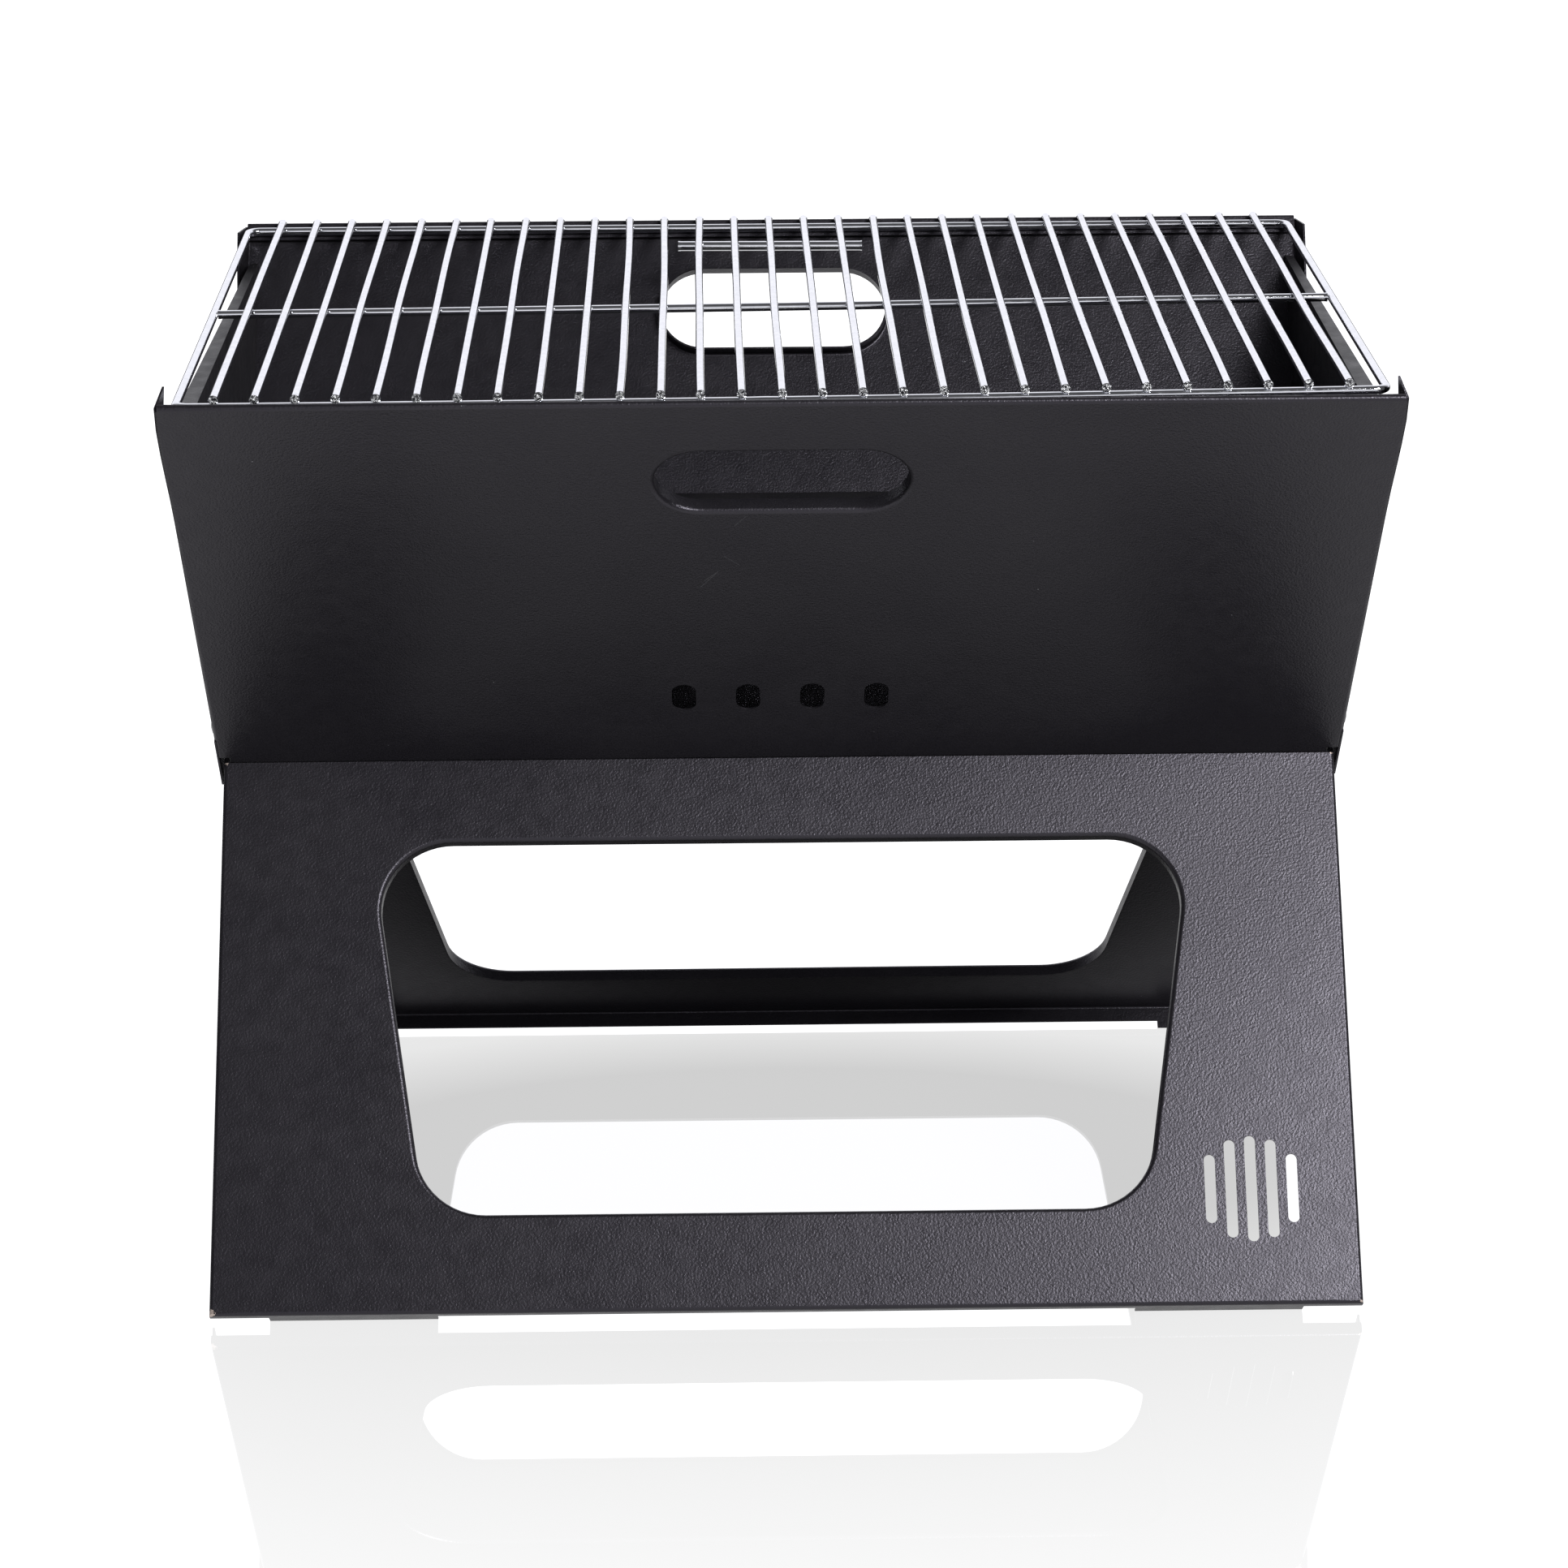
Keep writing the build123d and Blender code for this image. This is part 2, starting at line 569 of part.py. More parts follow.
END_PLATE_BOTTOM = HINGE_Z - KNUCKLE_RADIUS
for name, side in (("left", -1), ("right", 1)):
    wall_x = side * END_PLATE_X if side > 0 else side * (END_PLATE_X + SHEET)
    lower_half = trough_half(END_PLATE_BOTTOM) - END_PLATE_GAP
    upper_half = trough_half(END_PLATE_TOP) - END_PLATE_GAP
    with BuildPart() as end_plate:
        with BuildSketch(Plane.YZ.offset(wall_x)):
            with BuildLine():
                Polyline(
                    (-lower_half, END_PLATE_BOTTOM),
                    (lower_half, END_PLATE_BOTTOM),
                    (upper_half, END_PLATE_TOP),
                    (-upper_half, END_PLATE_TOP),
                    close=True,
                )
            make_face()
        extrude(amount=SHEET)
        with BuildSketch(Plane.XY.offset(END_PLATE_TOP - SHEET)) as lip:
            with BuildLine():
                Polyline(
                    (side * END_PLATE_X, -upper_half + SHEET),
                    (side * (END_PLATE_X + END_LIP_FRONT), -upper_half + SHEET),
                    (side * (END_PLATE_X + END_LIP_REAR), upper_half - SHEET),
                    (side * END_PLATE_X, upper_half - SHEET),
                    close=True,
                )
            make_face()
            outer_corners = lip.vertices().sort_by(lambda v: abs(v.X))[2:]
            fillet(outer_corners, END_LIP_REAR - SHEET)
        extrude(amount=SHEET)
        for y in KNUCKLE_PLACES[1::2]:
            with BuildSketch(Plane.XZ.offset(-y - KNUCKLE_LENGTH / 2)):
                with Locations((side * HINGE_X, HINGE_Z)):
                    Circle(KNUCKLE_RADIUS)
                with Locations((side * (HINGE_X + END_PLATE_X + SHEET) / 2, END_PLATE_BOTTOM + SHEET / 2)):
                    Rectangle(END_PLATE_X + SHEET - HINGE_X, SHEET)
                with Locations((side * HINGE_X, HINGE_Z)):
                    Circle(HINGE_PIN_RADIUS + HINGE_FIT, mode=Mode.SUBTRACT)
            extrude(amount=KNUCKLE_LENGTH)
    save(end_plate.part, name + "_end_plate")

    with BuildPart() as hinge_pin:
        with BuildSketch(Plane.XZ.offset(-KNUCKLE_COUNT * KNUCKLE_SPACING / 2)):
            with Locations((side * HINGE_X, HINGE_Z)):
                Circle(HINGE_PIN_RADIUS)
        extrude(amount=KNUCKLE_COUNT * KNUCKLE_SPACING)
    save(hinge_pin.part, name + "_hinge_pin")
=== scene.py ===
import json
import math
import random

import bmesh
import bpy
from mathutils import Matrix, Vector, noise

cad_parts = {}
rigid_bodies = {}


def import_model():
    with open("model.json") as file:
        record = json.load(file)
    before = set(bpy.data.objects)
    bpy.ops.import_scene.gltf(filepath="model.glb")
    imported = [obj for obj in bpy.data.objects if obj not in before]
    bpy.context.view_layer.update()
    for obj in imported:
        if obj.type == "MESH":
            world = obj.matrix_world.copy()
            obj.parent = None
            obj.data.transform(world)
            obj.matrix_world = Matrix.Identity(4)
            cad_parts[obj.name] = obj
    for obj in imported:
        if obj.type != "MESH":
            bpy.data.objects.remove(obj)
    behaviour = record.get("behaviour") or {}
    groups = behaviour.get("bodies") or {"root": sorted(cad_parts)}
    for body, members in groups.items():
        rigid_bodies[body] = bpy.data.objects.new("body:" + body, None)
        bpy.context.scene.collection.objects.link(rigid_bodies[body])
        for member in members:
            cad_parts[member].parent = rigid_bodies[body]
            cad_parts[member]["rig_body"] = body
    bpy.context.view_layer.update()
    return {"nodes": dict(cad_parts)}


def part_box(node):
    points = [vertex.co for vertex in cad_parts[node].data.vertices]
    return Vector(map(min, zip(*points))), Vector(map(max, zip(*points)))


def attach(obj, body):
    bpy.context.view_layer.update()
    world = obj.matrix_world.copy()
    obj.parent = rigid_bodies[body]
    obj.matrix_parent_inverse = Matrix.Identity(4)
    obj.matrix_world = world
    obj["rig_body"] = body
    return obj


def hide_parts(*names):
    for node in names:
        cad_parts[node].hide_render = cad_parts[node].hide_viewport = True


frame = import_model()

# Folding camp grill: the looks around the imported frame. Metres, +X right, +Y back, +Z up.

MM = 0.001
LEAN = math.radians(37.5)          # each panel's lean from the vertical
LEAN_SIN = math.sin(LEAN)
LEAN_COS = math.cos(LEAN)
FRONT = -1
REAR = 1

scene = bpy.context.scene
chance = random.Random(7)


def middle(node):
    """Middle of a CAD node's box."""
    low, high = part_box(node)
    return (low + high) / 2


PIVOT_Z = middle("pivot_rivets").z
ROD_LOW, ROD_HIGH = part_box("grid_rods")
ROD_Z = (ROD_LOW.z + ROD_HIGH.z) / 2
ROD_RADIUS = (ROD_HIGH.z - ROD_LOW.z) / 2
ROD_COUNT = 29
RAIL_LOW, RAIL_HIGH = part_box("grid_frame_wire")
RAIL_Z = (RAIL_LOW.z + RAIL_HIGH.z) / 2
RAIL_RADIUS = (RAIL_HIGH.z - RAIL_LOW.z) / 2
RAIL_HALF_WIDTH = RAIL_HIGH.x - RAIL_RADIUS
RAIL_HALF_DEPTH = RAIL_HIGH.y - RAIL_RADIUS
RAIL_CORNER = 5 * MM
UPPER_LENGTH = 238 * MM            # pivot to the top edge, along a panel
OUTER_FACE = 12 * MM               # a panel's outer face, out from the pivot


class Panel:
    """Coordinates of a panel: along it away from the pivot, and out of its outer face."""

    def __init__(self, side, upper):
        self.side = side
        self.up = 1 if upper else -1

    def split(self, place):
        """(along, out) of a point in the frame."""
        y = place.y * self.side
        z = (place.z - PIVOT_Z) * self.up
        return y * LEAN_SIN + z * LEAN_COS, y * LEAN_COS - z * LEAN_SIN

    def point(self, x, along, out):
        """The point in the frame at a place on the panel."""
        y = out * LEAN_COS + along * LEAN_SIN
        z = along * LEAN_COS - out * LEAN_SIN
        return Vector((x, y * self.side, PIVOT_Z + z * self.up))

    def along_axis(self):
        """The direction away from the pivot."""
        return Vector((0, self.side * LEAN_SIN, self.up * LEAN_COS))

    def out_axis(self):
        """The direction out of the panel's outer face."""
        return Vector((0, self.side * LEAN_COS, -self.up * LEAN_SIN))


FRONT_UPPER = Panel(FRONT, True)
REAR_UPPER = Panel(REAR, True)
FRONT_LOWER = Panel(FRONT, False)
REAR_LOWER = Panel(REAR, False)


# ---------------------------------------------------------------- materials

class Shader:
    """A node material under construction: the principled shader and short ways to add nodes."""

    def __init__(self, name):
        self.material = bpy.data.materials.new(name)
        self.material.use_nodes = True
        self.tree = self.material.node_tree
        self.principled = next(n for n in self.tree.nodes if n.type == "BSDF_PRINCIPLED")
        self.place = self.node("ShaderNodeTexCoord").outputs["Object"]

    def node(self, kind, **values):
        """A node, with properties and input values set by name."""
        made = self.tree.nodes.new(kind)
        for key, value in values.items():
            if key in made.inputs:
                made.inputs[key].default_value = value
            else:
                setattr(made, key, value)
        return made

    def link(self, output, target):
        self.tree.links.new(output, target)

    def set(self, **values):
        """Values set straight on the principled shader's own sockets."""
        for key, value in values.items():
            self.principled.inputs[key.replace("_", " ")].default_value = value

    def noise(self, scale, detail=2.0, roughness=0.5, stretch=None):
        """Noise over the object in metres, its features about 1 / scale long."""
        made = self.node("ShaderNodeTexNoise", Scale=scale, Detail=detail, Roughness=roughness)
        place = self.place
        if stretch:
            mapping = self.node("ShaderNodeMapping")
            mapping.inputs["Scale"].default_value = stretch
            self.link(self.place, mapping.inputs["Vector"])
            place = mapping.outputs["Vector"]
        self.link(place, made.inputs["Vector"])
        return made.outputs["Fac"]

    def spread(self, value, low, high, start=0.0, end=1.0):
        """A value mapped from low..high to start..end, clamped."""
        made = self.node("ShaderNodeMapRange")
        made.inputs["From Min"].default_value = low
        made.inputs["From Max"].default_value = high
        made.inputs["To Min"].default_value = start
        made.inputs["To Max"].default_value = end
        self.link(value, made.inputs["Value"])
        return made.outputs["Result"]

    def math(self, operation, first, second):
        """One arithmetic step on two values or sockets."""
        made = self.node("ShaderNodeMath", operation=operation)
        for socket, value in zip(made.inputs, (first, second)):
            if isinstance(value, (int, float)):
                socket.default_value = value
            else:
                self.link(value, socket)
        return made.outputs[0]

    def vector(self, operation, first, second, output="Vector"):
        """One step on two vectors, each a tuple or a socket."""
        made = self.node("ShaderNodeVectorMath", operation=operation)
        for socket, value in zip(made.inputs, (first, second)):
            if isinstance(value, (tuple, Vector)):
                socket.default_value = value
            else:
                self.link(value, socket)
        return made.outputs[output]

    def gap_to(self, start, end):
        """Distance from the line between two places, or from one place if they are the same."""
        start, end = Vector(start), Vector(end)
        if start == end:
            return self.vector("DISTANCE", self.place, start, "Value")
        way = end - start
        from_start = self.vector("SUBTRACT", self.place, start)
        reach = self.vector("DOT_PRODUCT", from_start, way / way.length_squared, "Value")
        reach = self.math("MINIMUM", self.math("MAXIMUM", reach, 0.0), 1.0)
        along = self.node("ShaderNodeVectorMath", operation="SCALE")
        along.inputs[0].default_value = way
        self.link(reach, along.inputs["Scale"])
        nearest = self.vector("ADD", along.outputs["Vector"], start)
        return self.vector("DISTANCE", self.place, nearest, "Value")

    def mix(self, share, first, second):
        """Colour that goes from first to second as share goes from 0 to 1."""
        made = self.node("ShaderNodeMix", data_type="RGBA")
        self.link(share, made.inputs["Factor"])
        for socket, value in ((made.inputs["A"], first), (made.inputs["B"], second)):
            if isinstance(value, tuple):
                socket.default_value = value
            else:
                self.link(value, socket)
        return made.outputs["Result"]

    def bump(self, height, strength, distance, under=None):
        """A bump from a height, over another bump."""
        made = self.node("ShaderNodeBump", Strength=strength, Distance=distance)
        self.link(height, made.inputs["Height"])
        if under is not None:
            self.link(under, made.inputs["Normal"])
        return made.outputs["Normal"]


def colour(red, green, blue):
    """An opaque colour."""
    return (red, green, blue, 1.0)


# Worn corners: panel, place across and along it, and radius, all in millimetres.
CHIPS = (
    (FRONT_LOWER, -221.8, 8.7, 1.5),
    (FRONT_LOWER, 222.0, 8.7, 1.3),
    (FRONT_LOWER, -222.1, 233.0, 1.9),
    (FRONT_LOWER, 222.2, 233.0, 0.9),
    (FRONT_UPPER, -224.6, 238.0, 1.0),
)
# Hairlines: panel, and the places across and along it of both ends, in millimetres.
SCRATCHES = (
    (FRONT_UPPER, (-21.4, 145.9), (-15.6, 140.1)),
    (FRONT_UPPER, (-30.7, 125.9), (-23.7, 136.3)),
    (FRONT_UPPER, (-29.0, 130.4), (-24.0, 136.0)),
    (FRONT_UPPER, (-17.5, 165.1), (-13.3, 170.7)),
    (FRONT_LOWER, (142.0, 125.8), (147.5, 132.4)),
)


def on_sheet(panel, across, along):
    """A place on a panel's outer face, given in millimetres."""
    return panel.point(across * MM, along * MM, OUTER_FACE)


def powder_coat():
    """Black textured powder coat: leathery grain, faint mottling, dust, hairlines and worn corners."""
    shader = Shader("black_powder_coat")
    shader.set(Specular_IOR_Level=0.46, Specular_Tint=colour(1.0, 0.955, 1.11))
    mottle = shader.spread(shader.noise(22, 3), 0.3, 0.7)
    paint = shader.mix(mottle, colour(0.0085, 0.0078, 0.0098), colour(0.0120, 0.0112, 0.0132))
    specks = shader.node("ShaderNodeTexVoronoi", Scale=110.0)
    shader.link(shader.place, specks.inputs["Vector"])
    dust = shader.spread(specks.outputs["Distance"], 0.020, 0.034, 1.0, 0.0)
    rare = shader.spread(shader.noise(60, 1), 0.58, 0.64)
    paint = shader.mix(shader.math("MULTIPLY", dust, rare), paint, colour(0.20, 0.20, 0.21))
    for panel, start, end in SCRATCHES:
        gap = shader.gap_to(on_sheet(panel, *start), on_sheet(panel, *end))
        line = shader.spread(gap, 0.10 * MM, 0.24 * MM, 0.9, 0.0)
        paint = shader.mix(line, paint, colour(0.07, 0.07, 0.075))
    bare = None
    for panel, across, along, size in CHIPS:
        place = on_sheet(panel, across, along)
        radius = size * MM
        ragged = shader.spread(shader.noise(1400, 3), 0.3, 0.7, -0.4 * radius, 0.4 * radius)
        gap = shader.math("ADD", shader.gap_to(place, place), ragged)
        chip = shader.spread(gap, 0.80 * radius, 0.95 * radius, 1.0, 0.0)
        bare = chip if bare is None else shader.math("MAXIMUM", bare, chip)
    worn = shader.mix(bare, paint, colour(0.56, 0.47, 0.42))
    shader.link(worn, shader.principled.inputs["Base Color"])
    shader.link(shader.math("MULTIPLY", bare, 0.6), shader.principled.inputs["Metallic"])
    satin = shader.spread(shader.noise(150, 2), 0.3, 0.7, 0.30, 0.37)
    shader.link(satin, shader.principled.inputs["Roughness"])
    grain = shader.bump(shader.noise(1150, 2, 0.5), 0.55, 0.26 * MM)
    ripple = shader.bump(shader.noise(9, 1), 0.25, 1.2 * MM, under=grain)
    shader.link(ripple, shader.principled.inputs["Normal"])
    return shader.material


def insert_paint():
    """Black heat-proof paint of the charcoal insert: matter and sandier than the panels' coat."""
    shader = Shader("insert_paint")
    shader.set(Specular_IOR_Level=0.28)
    mottle = shader.spread(shader.noise(40, 4), 0.3, 0.7)
    shader.link(
        shader.mix(mottle, colour(0.009, 0.009, 0.011), colour(0.018, 0.017, 0.019)),
        shader.principled.inputs["Base Color"],
    )
    shader.link(
        shader.spread(shader.noise(120, 3), 0.3, 0.7, 0.34, 0.46),
        shader.principled.inputs["Roughness"],
    )
    grain = shader.bump(shader.noise(900, 3, 0.6), 0.5, 0.25 * MM)
    shader.link(grain, shader.principled.inputs["Normal"])
    return shader.material


def chrome_plate():
    """Bright chrome over drawn wire: faint ripples and a few dull spots."""
    shader = Shader("chrome_plate")
    shader.set(Metallic=1.0)
    dull = shader.spread(shader.noise(260, 4, 0.6), 0.35, 0.75)
    shader.link(
        shader.mix(dull, colour(0.90, 0.91, 0.945), colour(0.78, 0.79, 0.83)),
        shader.principled.inputs["Base Color"],
    )
    shader.link(
        shader.spread(shader.noise(420, 3), 0.3, 0.75, 0.05, 0.14),
        shader.principled.inputs["Roughness"],
    )
    ripples = shader.bump(shader.noise(240, 2, 0.5), 0.12, 0.12 * MM)
    shader.link(ripples, shader.principled.inputs["Normal"])
    return shader.material


def cut_wire():
    """Bare ends of the cut wires: pitted, with painted shade in the pits and painted glints as dark
    and bright specks.
    """
    shader = Shader("cut_wire_ends")
    shader.set(Metallic=1.0)
    # The dark and bright specks in the base colour are painted shade in the pits and painted glints;
    # the pitting itself is the bump below.
    pit_shade_and_glints = shader.spread(shader.noise(1100, 3, 0.6), 0.42, 0.60)
    shader.link(
        shader.mix(pit_shade_and_glints, colour(0.07, 0.07, 0.08), colour(0.85, 0.86, 0.88)),
        shader.principled.inputs["Base Color"],
    )
    shader.link(
        shader.spread(shader.noise(900, 3), 0.3, 0.7, 0.18, 0.42),
        shader.principled.inputs["Roughness"],
    )
    rough = shader.bump(shader.noise(1000, 4, 0.65), 1.0, 1.0 * MM)
    shader.link(rough, shader.principled.inputs["Normal"])
    return shader.material


def zinc_plate():
    """Zinc-plated rivet steel: a grey satin metal with fine turning marks and stains."""
    shader = Shader("zinc_plate")
    shader.set(Metallic=1.0)
    stain = shader.spread(shader.noise(420, 4, 0.6), 0.3, 0.7)
    shader.link(
        shader.mix(stain, colour(0.42, 0.42, 0.43), colour(0.62, 0.62, 0.64)),
        shader.principled.inputs["Base Color"],
    )
    shader.link(
        shader.spread(shader.noise(700, 3), 0.3, 0.7, 0.26, 0.44),
        shader.principled.inputs["Roughness"],
    )
    marks = shader.bump(shader.noise(900, 3, 0.6, stretch=(6.0, 1.0, 1.0)), 0.35, 0.1 * MM)
    shader.link(marks, shader.principled.inputs["Normal"])
    return shader.material


BLACK = powder_coat()
INSERT = insert_paint()
CHROME = chrome_plate()
CUT = cut_wire()
ZINC = zinc_plate()


# ---------------------------------------------------------------- mesh helpers

def finish_piece(name, mesh_data, body, materials, replaced, sharp=35):
    """A shown piece from a bmesh: smooth shaded, sharp past an angle, riding on a CAD body."""
    mesh = bpy.data.meshes.new(name)
    mesh_data.to_mesh(mesh)
    mesh_data.free()
    if "custom_normal" in mesh.attributes:
        mesh.attributes.remove(mesh.attributes["custom_normal"])
    for material in materials:
        mesh.materials.append(material)
    mesh.polygons.foreach_set("use_smooth", [True] * len(mesh.polygons))
    mesh.set_sharp_from_angle(angle=math.radians(sharp))
    piece = bpy.data.objects.new(name, mesh)
    scene.collection.objects.link(piece)
    weighted = piece.modifiers.new("weighted", "WEIGHTED_NORMAL")
    weighted.keep_sharp = True
    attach(piece, body)
    if replaced:
        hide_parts(*replaced)
    return piece


def cad_skin(node):
    """A bmesh of a CAD node's shape, its separate faces welded into one skin."""
    skin = bmesh.new()
    skin.from_mesh(frame["nodes"][node].data)
    bmesh.ops.remove_doubles(skin, verts=skin.verts, dist=0.002 * MM)
    for face in skin.faces:
        face.material_index = 0
    return skin


def slice_skin(skin, point, normal):
    """Cuts a skin's faces along a plane, so that they can bend there."""
    geometry = skin.verts[:] + skin.edges[:] + skin.faces[:]
    bmesh.ops.bisect_plane(skin, geom=geometry, plane_co=point, plane_no=normal, dist=0.01 * MM)


def smooth_step(value, low, high):
    """0 below low, 1 above high, and a smooth rise between."""
    share = min(1.0, max(0.0, (value - low) / (high - low)))
    return share * share * (3 - 2 * share)


# ---------------------------------------------------------------- panels

SHEET_STEP = 14 * MM               # between cuts across and along a sheet
FLANGE_CUTS = (1 * MM, 4 * MM, 7 * MM, 10 * MM)
SWELL = 0.35 * MM                  # most that a sheet is out of flat
SWELL_PER_METRE = 7                # how quickly the swell changes
CALM_SIDE = 30 * MM                # the swell dies away beside the flanges,
CALM_TOP = (200 * MM, 228 * MM)    # below the top edge
CALM_PIVOT = (10 * MM, 60 * MM)    # and beside the pivot

# The front flanges' top corners are bent.
CORNER_X = 222 * MM
CORNER_START = 205 * MM
CORNER_RISE = 2.3 * MM
CORNER_LEAN = 2.8 * MM
CORNER_FOLD = 10 * MM              # how far out the bend's fold line is
CORNER_DEPTH = 8 * MM
BULGE = 0.7 * MM
BULGE_FROM = (170 * MM, 215 * MM)
BULGE_TO = 222 * MM

# The rear flanges spread outward.
FLARE_X = 220 * MM
FLARE = 3.2 * MM
FLARE_START = 120 * MM
FLARE_FOLD = 11 * MM
FLARE_DEPTH = 10 * MM


def waviness(x, along, seed):
    """How far a large thin sheet is from flat at a place: a slow, slight swell."""
    return noise.noise(Vector((x * SWELL_PER_METRE, along * SWELL_PER_METRE, seed)))


def panel_piece(node, name, panel, half_width, seed, bend):
    """A panel's sheet, cut fine enough to bend, with its slight swell and its bent corners."""
    skin = cad_skin(node)
    axis = panel.along_axis()
    count = int(UPPER_LENGTH / SHEET_STEP)
    for index in range(1, count):
        slice_skin(skin, panel.point(0, index * SHEET_STEP, 0), axis)
    columns = int(half_width / SHEET_STEP)
    for index in range(-columns, columns + 1):
        slice_skin(skin, Vector((index * SHEET_STEP, 0, 0)), Vector((1, 0, 0)))
    for out in FLANGE_CUTS:
        slice_skin(skin, panel.point(0, 0, out), panel.out_axis())
    for vertex in skin.verts:
        along, out = panel.split(vertex.co)
        x = vertex.co.x
        calm = 1 - smooth_step(abs(x), half_width - CALM_SIDE, half_width)
        calm *= 1 - smooth_step(along, *CALM_TOP)
        swell = SWELL * waviness(x, along, seed) * calm * smooth_step(along, *CALM_PIVOT)
        moved_x, moved_along = bend(x, along, out)
        vertex.co = panel.point(moved_x, moved_along, out + swell)
    return finish_piece(name, skin, frame["nodes"][node]["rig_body"], [BLACK], [node])


def front_upper_bend(x, along, out):
    """The front flanges' top corners stand up and lean inward, and bulge a little below that."""
    if abs(x) < CORNER_X:
        return x, along
    depth = max(0.0, (CORNER_FOLD - out) / CORNER_DEPTH)
    rise = smooth_step(along, CORNER_START, UPPER_LENGTH)
    bulge = BULGE * smooth_step(along, *BULGE_FROM) * (1 - smooth_step(along, BULGE_TO, UPPER_LENGTH))
    outward = bulge - CORNER_LEAN * rise * depth
    return x + (outward if x > 0 else -outward), along + CORNER_RISE * rise * depth


def rear_upper_bend(x, along, out):
    """The rear panel's side flanges spread outward towards their free edges."""
    if abs(x) < FLARE_X:
        return x, along
    depth = max(0.0, (FLARE_FOLD - out) / FLARE_DEPTH)
    flare = FLARE * depth * smooth_step(along, FLARE_START, UPPER_LENGTH)
    return x + math.copysign(flare, x), along


def no_bend(x, along, out):
    """The lower panels stay as they are."""
    return x, along


# Each row: the CAD node, the sheet's name, its panel, the seed of its swell and its bend.
for node, name, panel, seed, bend in (
    ("front_upper_panel", "front_upper_sheet", FRONT_UPPER, 1.3, front_upper_bend),
    ("rear_upper_panel", "rear_upper_sheet", REAR_UPPER, 5.1, rear_upper_bend),
    ("front_lower_panel", "front_lower_sheet", FRONT_LOWER, 9.7, no_bend),
    ("rear_lower_panel", "rear_lower_sheet", REAR_LOWER, 3.9, no_bend),
):
    panel_piece(node, name, panel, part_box(node)[1].x, seed, bend)


# ---------------------------------------------------------------- wires

def ring_frames(points, closed):
    """Directions across a wire at each of its points: (sideways, upward)."""
    frames = []
    last = len(points) - 1
    for index, _ in enumerate(points):
        if closed:
            ahead, behind = points[(index + 1) % len(points)], points[index - 1]
        else:
            ahead, behind = points[min(index + 1, last)], points[max(index - 1, 0)]
        along = (ahead - behind).normalized()
        sideways = along.cross(Vector((0, 0, 1))).normalized()
        frames.append((sideways, sideways.cross(along).normalized()))
    return frames


def add_wire(skin, points, radii, sides, closed=False, end_material=0):
    """A round wire along points, with a radius at each, and pressed flat ends if it is open."""
    rings = []
    for place, radius, (sideways, upward) in zip(points, radii, ring_frames(points, closed)):
        ring = []
        for step in range(sides):
            turn = 2 * math.pi * step / sides
            offset = sideways * math.cos(turn) + upward * math.sin(turn)
            ring.append(skin.verts.new(place + offset * radius))
        rings.append(ring)
    pairs = list(zip(rings, rings[1:]))
    if closed:
        pairs.append((rings[-1], rings[0]))
    for first, second in pairs:
        for step in range(sides):
            following = (step + 1) % sides
            skin.faces.new((first[step], first[following], second[following], second[step]))
    if not closed:
        for ring in (rings[0], rings[-1]):
            cap = skin.faces.new(ring)
            cap.material_index = end_material


CROOK = 0.004                      # how far the grid is out of square, per length
GRID_TWIST = 2.9 * MM              # lift of its right front corner
GRID_SINK = 0.4 * MM
GRID_SHIFT = -0.7 * MM
GRID_FAN = 0.55 * MM
ROD_PITCH = (ROD_HIGH.x - ROD_LOW.x - 2 * ROD_RADIUS) / (ROD_COUNT - 1)
ROD_STEPS = 44
ROD_SIDES = 20
BAR_SIDES = 22
ROD_BOW = 0.45 * MM                # most that a rod is bent
ROD_BURR = 0.2 * MM                # how much wider the cut ends are
BAR_BURR = 0.12 * MM
ROD_BURR_REACH = 1.3 * MM
BAR_BURR_REACH = 1.2 * MM
END_REACH = 1.6 * MM               # length of wire beside an end that gets more points
END_ROUNDING = 0.15 * MM
RAIL_STEP = 6 * MM
CORNER_PARTS = 8
WIRE_JOINT_X = -7.5 * MM           # butt weld in the front of the loop wire
WIRE_JOINT_SWELL = 0.3 * MM
WIRE_JOINT_WIDTH = 1.3 * MM
BAR_SKEW = 4 * MM                  # how far the middle bar is askew at its ends
GRIP_SKEW = -1 * MM
WELD_INSET = 0.7 * MM
WELD_HALF_WIDTH = (1.2 * MM, 1.5 * MM)
WELD_HALF_DEPTH = (1.0 * MM, 1.3 * MM)
WELD_HALF_HEIGHT = 0.55 * MM
WELD_LUMPS = 0.22


def rod_x(index):
    """Where a rod is along the grid's width."""
    return (index - (ROD_COUNT - 1) / 2) * ROD_PITCH


def settled(place):
    """A point of the grid as it lies: a little askew, with its right front corner standing high."""
    side = place.x / RAIL_HALF_WIDTH
    back = place.y / RAIL_HALF_DEPTH
    lift = GRID_TWIST * ((1 + side) / 2) ** 2 * (1 - back) / 2 - GRID_SINK
    shift = GRID_SHIFT + GRID_FAN * side * back - CROOK * place.y
    return Vector((place.x + shift, place.y, place.z + lift))


def rod_line(index, spread):
    """Points along one rod from front to back, a little bent, as hand-straightened wire is."""
    x = rod_x(index)
    wave = chance.uniform(-1, 1) * spread
    phase = chance.uniform(0, 2 * math.pi)
    points = []
    for step in range(ROD_STEPS + 1):
        share = step / ROD_STEPS
        y = ROD_LOW.y + (ROD_HIGH.y - ROD_LOW.y) * share
        bow = wave * math.sin(math.pi * share) + 0.4 * wave * math.sin(3 * math.pi * share + phase)
        points.append(settled(Vector((x + bow, y, ROD_Z + 0.25 * bow))))
    return points


def burred(points, radius, burr, reach):
    """Radii along a wire that swell at both ends, where the cutter squeezed them."""
    start, end = points[0], points[-1]
    radii = []
    for place in points:
        gap = min((place - start).length, (place - end).length)
        radii.append(radius + burr * (1 - smooth_step(gap, 0, reach)))
    return radii


